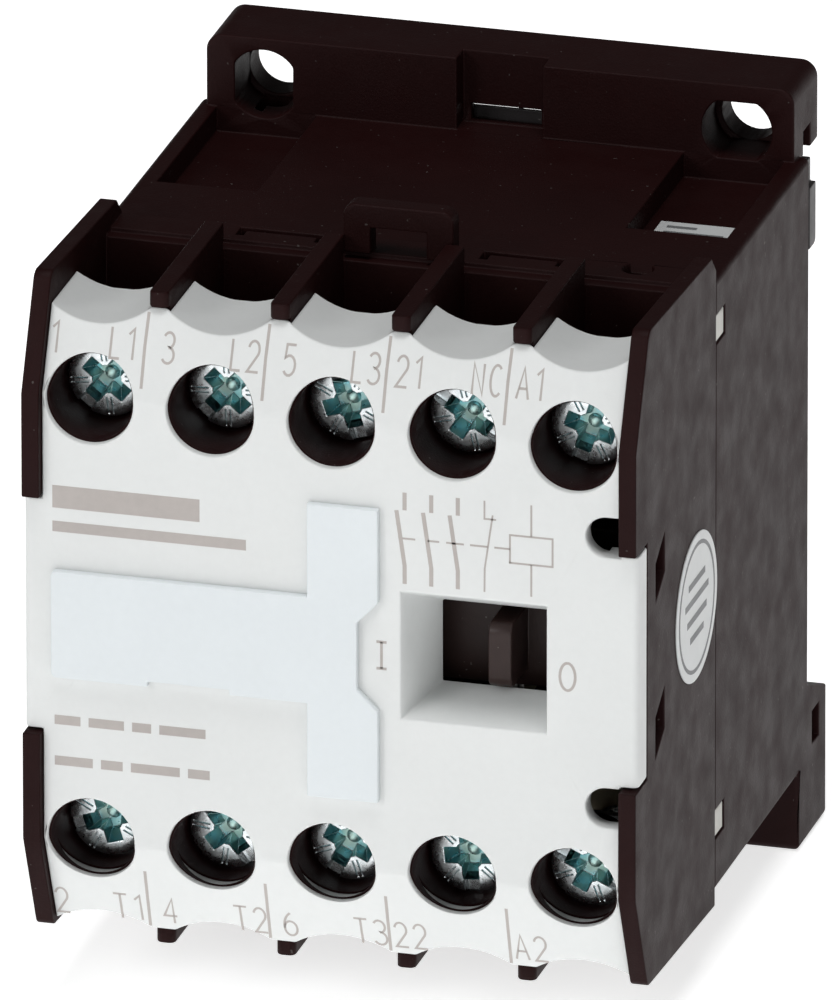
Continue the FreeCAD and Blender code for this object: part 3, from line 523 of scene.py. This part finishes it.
def place_springs():
    along_x, up = (1, 0, 0), (0, 0, 1)
    latch = spring_piece("latch_spring_pair",
                         [((x, -2.95, 51.45), up, 5.5, 0.95, 0.3, 7) for x in (-10.5, 10.5)])
    stand_for(latch, "latch_springs")
    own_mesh(latch)

    back = spring_piece("carrier_return_spring",
                        [((14.04, CONTACT_Y, CONTACT_Z), along_x, 5.9, 1.6, 0.4, 6)])
    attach(back, "housing")
    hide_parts("return_spring")
    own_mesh(back)

    for pole in range(4):
        opens = pole == BREAK_POLE
        low = POLES[pole] + (-3.0 if opens else 2.1) + 0.05
        length = 3.35 if opens else 3.3
        piece = spring_piece(f"contact_spring_{pole + 1}",
                             [((low, CONTACT_Y, CONTACT_Z), along_x, length, 1.3, 0.35, 4)])
        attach(piece, "carrier")
        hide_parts("contact_springs")
        if not opens:
            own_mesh(piece)


def winding():
    """Side-by-side turns of enamelled wire round the bobbin, with a rounded rectangular path."""
    x_low, x_high = -12.9, 3.9
    wire = 0.3
    rows_per_turn = (-0.09, -0.02, 0.0, -0.02)
    rows = int((x_high - x_low) / wire) * len(rows_per_turn)
    half, corner = 9.0, 2.2
    hole_share = 5.0 / 6.85
    middle_y, middle_z = -18.0, 29.5
    middle = at(0, middle_y, middle_z)

    def loop(x, grow):
        """A rounded rectangle round the bobbin, grown outwards by some millimetres."""
        verts = []
        for cy, cz, start in ((1, 1, 0), (-1, 1, 90), (-1, -1, 180), (1, -1, 270)):
            for step in range(6):
                a = math.radians(start + 18 * step)
                y = middle_y + cy * (half - corner) + (corner + grow) * math.cos(a)
                z = middle_z + cz * (half - corner) + (corner + grow) * math.sin(a)
                verts.append(bm.verts.new(at(x, y, z)))
        return verts

    bm = bmesh.new()
    rings = []
    for i in range(rows + 1):
        x = x_low + (x_high - x_low) * i / rows
        rings.append(loop(x, rows_per_turn[i % len(rows_per_turn)]))
    holes = [loop(x, -corner * 0.98) for x in (x_low, x_high)]
    for lower, upper in zip(rings, rings[1:]):
        bridge(bm, lower, upper)
    for hole, rim in zip(holes, (rings[0], rings[-1])):
        for vert in hole:
            offset = vert.co - middle
            vert.co = middle + Vector((offset.x, offset.y * hole_share, offset.z * hole_share))
        bridge(bm, hole, rim)
    bridge(bm, *holes)
    piece = add_object("wound_wire", finish_mesh(bm, "wound_wire", 60.0), MATERIALS["winding"])
    stand_for(piece, "coil_winding")


# ---- printed marks --------------------------------------------------------------------------
def arc(cx, cy, rx, ry, start, end, count=12):
    """Points of an elliptical arc, between two angles in degrees."""
    points = []
    for i in range(count + 1):
        a = math.radians(start + (end - start) * i / count)
        points.append((cx + rx * math.cos(a), cy + ry * math.sin(a)))
    return points


# Plain single-line characters in a box 0.6 wide and 1 high.
STROKES = {
    "0": [arc(0.3, 0.5, 0.26, 0.48, 90, 450, 24)],
    "1": [[(0.10, 0.80), (0.34, 0.98), (0.34, 0.02)]],
    "2": [arc(0.3, 0.71, 0.25, 0.27, 165, -35) + [(0.05, 0.02), (0.57, 0.02)]],
    "3": [arc(0.27, 0.74, 0.25, 0.24, 150, -80) + arc(0.27, 0.27, 0.28, 0.25, 85, -150)],
    "4": [[(0.44, 0.02), (0.44, 0.98), (0.03, 0.30), (0.58, 0.30)]],
    "5": [[(0.54, 0.98), (0.12, 0.98), (0.08, 0.56)] + arc(0.28, 0.33, 0.28, 0.31, 125, -145)],
    "6": [arc(0.62, 0.36, 0.58, 0.62, 118, 180) + arc(0.31, 0.30, 0.27, 0.28, 180, 540, 20)],
    "A": [[(0.02, 0.02), (0.3, 0.98), (0.58, 0.02)], [(0.12, 0.34), (0.48, 0.34)]],
    "C": [arc(0.34, 0.5, 0.28, 0.48, 50, 310, 18)],
    "I": [[(0.3, 0.02), (0.3, 0.98)], [(0.14, 0.98), (0.46, 0.98)], [(0.14, 0.02), (0.46, 0.02)]],
    "L": [[(0.10, 0.98), (0.10, 0.02), (0.54, 0.02)]],
    "N": [[(0.06, 0.02), (0.06, 0.98), (0.54, 0.02), (0.54, 0.98)]],
    "T": [[(0.02, 0.98), (0.58, 0.98)], [(0.3, 0.98), (0.3, 0.02)]],
}
PRINT_LIFT, PRINT_SINK = 0.012, 0.03


def cover_front(x, z, lift):
    """A point of the cover's front at that place, raised by lift."""
    y = FACE_Y
    if z > BREAK_TOP:
        y += (z - BREAK_TOP) * SLOPE
    if z < BREAK_LOW:
        y += (BREAK_LOW - z) * SLOPE
    return at(x, y - lift, z)


def label_top(x, y, lift):
    return at(x, y, 50.85 + lift)


def side_disc(y, z, lift):
    return at(22.6 + lift, y, z)


def ribbon(bm, surface, points, width):
    """A printed line: a thin closed strip along points, following a surface."""
    rails = []
    flat = [Vector(p) for p in points]
    for i, point in enumerate(flat):
        before = (point - flat[i - 1]).normalized() if i else None
        after = (flat[i + 1] - point).normalized() if i + 1 < len(flat) else None
        before, after = before or after, after or before
        normal = Vector((-before.y, before.x)) + Vector((-after.y, after.x))
        normal.normalize()
        stretch = 1 / max(0.5, normal.dot(Vector((-before.y, before.x))))
        left = point + normal * width / 2 * stretch
        right = point - normal * width / 2 * stretch
        corners = []
        for side in (left, right):
            corners += [bm.verts.new(surface(side.x, side.y, PRINT_LIFT)),
                        bm.verts.new(surface(side.x, side.y, -PRINT_SINK))]
        rails.append([corners[0], corners[2], corners[3], corners[1]])
    for first, second in zip(rails, rails[1:]):
        bridge(bm, first, second)
    bm.faces.new(rails[0][::-1])
    bm.faces.new(rails[-1])


def write(bm, surface, text, centre, height, width=0.17, narrow=0.74):
    """Characters in a row, with the middle of the row at that place."""
    step = 0.82 * narrow * height
    left = centre[0] - (step * (len(text) - 1) + 0.6 * narrow * height) / 2
    bottom = centre[1] - height / 2
    for i, character in enumerate(text):
        for stroke in STROKES[character]:
            points = [(left + i * step + u * narrow * height, bottom + v * height) for u, v in stroke]
            ribbon(bm, surface, points, width)


def circuit(bm):
    """Circuit symbols: three make contacts, one break contact, the link and the coil."""
    pitch, first = 1.945, 5.42
    high, low = 42.5, 35.6
    for i in range(3):
        x = first + i * pitch
        ribbon(bm, cover_front, [(x, high), (x, high - 1.33)], 0.3)
        ribbon(bm, cover_front, [(x - 0.6, high - 1.38), (x, low + 1.37), (x, low)], 0.3)
    x = first + 3 * pitch
    ribbon(bm, cover_front, [(x, high), (x, high - 1.37), (x + 0.85, high - 1.37)], 0.13)
    ribbon(bm, cover_front, [(x + 0.6, high - 1.05), (x + 0.02, low + 1.76), (x, low)], 0.13)
    coil_left, coil_right, coil_low, coil_top = 13.12, 16.23, 38.0, 40.1
    middle_x, link_z = (coil_left + coil_right) / 2, 39.03
    for start, end in ((5.25, 6.2), (7.1, 7.95), (8.46, 9.75), (10.2, 11.5), (11.98, coil_left)):
        ribbon(bm, cover_front, [(start, link_z), (end, link_z)], 0.14)
    ribbon(bm, cover_front, [(coil_left, coil_low), (coil_left, coil_top), (coil_right, coil_top),
                             (coil_right, coil_low), (coil_left - 0.07, coil_low)], 0.14)
    ribbon(bm, cover_front, [(middle_x, high), (middle_x, coil_top)], 0.14)
    ribbon(bm, cover_front, [(middle_x, coil_low), (middle_x, low)], 0.14)


MARKS = {
    "top": (("1", "L1"), ("3", "L2"), ("5", "L3"), ("21", "NC"), ("A1", "")),
    "bottom": (("2", "T1"), ("4", "T2"), ("6", "T3"), ("22", ""), ("A2", "")),
}


def mark_row(bm, texts, z, height, left, right):
    """Marks at the left and right of each hole, the first one kept off the cover's edge."""
    edge = -20.5
    for pole, (first, second) in zip(POLES, texts):
        write(bm, cover_front, first, (max(pole + left, edge), z), height)
        write(bm, cover_front, second, (pole + right, z), height)


def terminal_marks(bm):
    """Standard terminal numbers, and lines between the terminals."""
    mark_row(bm, MARKS["top"], 51.0, 2.1, -3.4, 2.15)
    mark_row(bm, MARKS["bottom"], 7.85, 2.3, -3.7, 2.25)
    line = 0.22
    for first, second in zip(POLES, POLES[1:]):
        x = (first + second) / 2 - 0.7
        ribbon(bm, cover_front, [(x, 53.2), (x - 0.05, 51.0), (x, 48.2)], line)
        ribbon(bm, cover_front, [(x, 11.3), (x - 0.1, 9.0), (x - 0.2, 6.3)], line)


def cover_print():
    """All the print on the cover, with plain bars where a real one has a name and ratings."""
    bm = bmesh.new()
    circuit(bm)
    terminal_marks(bm)
    write(bm, cover_front, "I", (3.72, 30.0), 2.1, 0.2, 1.1)
    write(bm, cover_front, "0", (17.33, 29.8), 2.16, 0.2, 1.0)
    for z, tall, end in ((39.55, 1.7, -9.6), (37.3, 0.8, -6.2)):
        ribbon(bm, cover_front, [(-20.4, z), (end, z)], tall)
    for z, lengths in ((22.6, (1.9, 2.6, 1.4, 3.4)), (19.5, (2.8, 1.6, 3.6, 1.6))):
        x = -20.3
        for length in lengths:
            ribbon(bm, cover_front, [(x, z), (x + length, z)], 0.7)
            x += length + 0.6
    piece = add_object("cover_print", finish_mesh(bm, "cover_print"), PRINT)
    join_housing(piece)


def label_prints():
    """Plain lines on the coil label, and a ring with plain lines on the round side label."""
    bm = bmesh.new()
    for y, length in ((-20.4, 4.4), (-19.2, 3.0), (-18.0, 4.4), (-16.9, 2.2)):
        ribbon(bm, label_top, [(15.2, y), (15.2 + length, y)], 0.45)
    piece = add_object("coil_label_print", finish_mesh(bm, "coil_label_print"), LABEL_PRINT)
    join_housing(piece)

    bm = bmesh.new()
    middle_y, middle_z, radius = -35.9, 29.8, 4.7
    ribbon(bm, side_disc, arc(middle_y, middle_z, radius, radius, 0, 360, 48), 0.3)
    for z, half in ((31.9, 2.2), (30.6, 3.1), (29.2, 2.6), (27.8, 1.8)):
        ribbon(bm, side_disc, [(middle_y - half, z), (middle_y + half, z)], 0.5)
    piece = add_object("side_label_print", finish_mesh(bm, "side_label_print"), LABEL_PRINT)
    join_housing(piece)


# ---- build ----------------------------------------------------------------------------------
SOFTENED = {
    "rear_housing": 0.12, "front_housing": 0.12, "front_cover": 0.14, "marker_plate": 0.1,
    "partition_plate": 0.1, "contact_carrier": 0.12, "rail_latch": 0.1, "driver_collars": 0.07,
    "coil_bobbin": 0.12, "damping_pad": 0.2, "armature": 0.12, "magnet_core": 0.12,
    "side_label": 0.03, "coil_label": 0.05, "armature_pin": 0.12, "shading_rings": 0.08,
    "bridge_tips": 0.12, "fixed_tips": 0.12,
}
for row in ROW_Z:
    for number in range(1, 6):
        SOFTENED[f"terminal_strip_{row}_{number}"] = 0.07
        SOFTENED[f"clamp_washer_{row}_{number}"] = 0.08
for number in range(1, 5):
    SOFTENED[f"contact_bridge_{number}"] = 0.07

for node, item in frame["nodes"].items():
    item.data.materials.clear()
    item.data.materials.append(MATERIALS[NODE_SLOT[node]])
for node, width in SOFTENED.items():
    softened(node, width)
place_screws()
collar_mouths()
place_springs()
winding()
cover_print()
label_prints()


# ---- floor, light and camera ----------------------------------------------------------------
def add_floor():
    bm = bmesh.new()
    reach, z = 6.0, cad_box[0][2]
    corners = [(-reach, -reach, z), (reach, -reach, z), (reach, reach, z), (-reach, reach, z)]
    bm.faces.new([bm.verts.new(corner) for corner in corners])
    material, tree, shader = start_material("floor_paper")
    shade = ramp(tree, noise(tree, 0.02, 2), (0.3, (0.90, 0.90, 0.90)), (0.7, (0.92, 0.92, 0.92)))
    tree.links.new(shade, shader.inputs["Base Color"])
    shader.inputs["Roughness"].default_value = 0.9
    shader.inputs["Specular IOR Level"].default_value = 0.1
    shader.inputs["Emission Color"].default_value = (1.0, 1.0, 1.0, 1)
    shader.inputs["Emission Strength"].default_value = 0.70
    add_object("floor", finish_mesh(bm, "floor"), material)


def add_light(name, place, aim, size, power):
    light = bpy.data.lights.new(name, "AREA")
    light.shape = "RECTANGLE"
    light.size, light.size_y = size
    light.energy = power
    lamp = bpy.data.objects.new(name, light)
    lamp.location = place
    lamp.rotation_euler = (Vector(aim) - Vector(place)).to_track_quat("-Z", "Y").to_euler()
    bpy.context.scene.collection.objects.link(lamp)


def add_world(light):
    """Even grey light from above the horizon, and white below it, beyond the floor's edge."""
    world = bpy.data.worlds.new("studio")
    world.use_nodes = True
    tree = world.node_tree
    direction = tree.nodes.new("ShaderNodeTexCoord")
    split = tree.nodes.new("ShaderNodeSeparateXYZ")
    tree.links.new(direction.outputs["Generated"], split.inputs["Vector"])
    shade = ramp(tree, split.outputs["Z"], (0.0, (1.0, 1.0, 1.0)), (0.01, (light, light, light)))
    tree.links.new(shade, tree.nodes["Background"].inputs["Color"])
    bpy.context.scene.world = world


def add_camera():
    """The photograph's viewpoint: from the right and above, through a long lens."""
    turn, rise, roll = math.radians(15.56), math.radians(21.42), math.radians(-0.04)
    distance = 2.8449
    target = at(-0.79, -26.0, 31.73)
    back = Vector((math.sin(turn) * math.cos(rise), -math.cos(turn) * math.cos(rise), math.sin(rise)))
    right = (-back).cross(Vector((0, 0, 1))).normalized()
    up = right.cross(-back)
    rolled_right = right * math.cos(roll) + up * math.sin(roll)
    rolled_up = up * math.cos(roll) - right * math.sin(roll)
    camera = bpy.data.objects.new("camera", bpy.data.cameras.new("camera"))
    axes = Matrix((rolled_right, rolled_up, back)).transposed().to_4x4()
    camera.matrix_world = Matrix.Translation(target + back * distance) @ axes
    camera.data.sensor_fit = "VERTICAL"
    camera.data.sensor_height = 36.0
    camera.data.lens = 1440.0
    camera.data.clip_start, camera.data.clip_end = 0.01, 50.0
    bpy.context.scene.collection.objects.link(camera)
    bpy.context.scene.camera = camera


add_floor()
add_world(0.10)
add_light("key", (-0.75, -1.05, 0.62), (0, -0.04, 0), (0.45, 0.45), 4.6)
add_light("front", (0.15, -1.3, 0.25), (0, -0.04, 0), (0.8, 0.6), 2.5)
add_light("right", (1.2, -0.1, 0.5), (0, -0.03, 0), (0.5, 0.5), 0.9)
add_light("top", (0.1, -0.35, 1.5), (0, -0.04, 0), (0.8, 0.5), 11.0)
add_camera()
bpy.context.scene.view_settings.view_transform = "Standard"
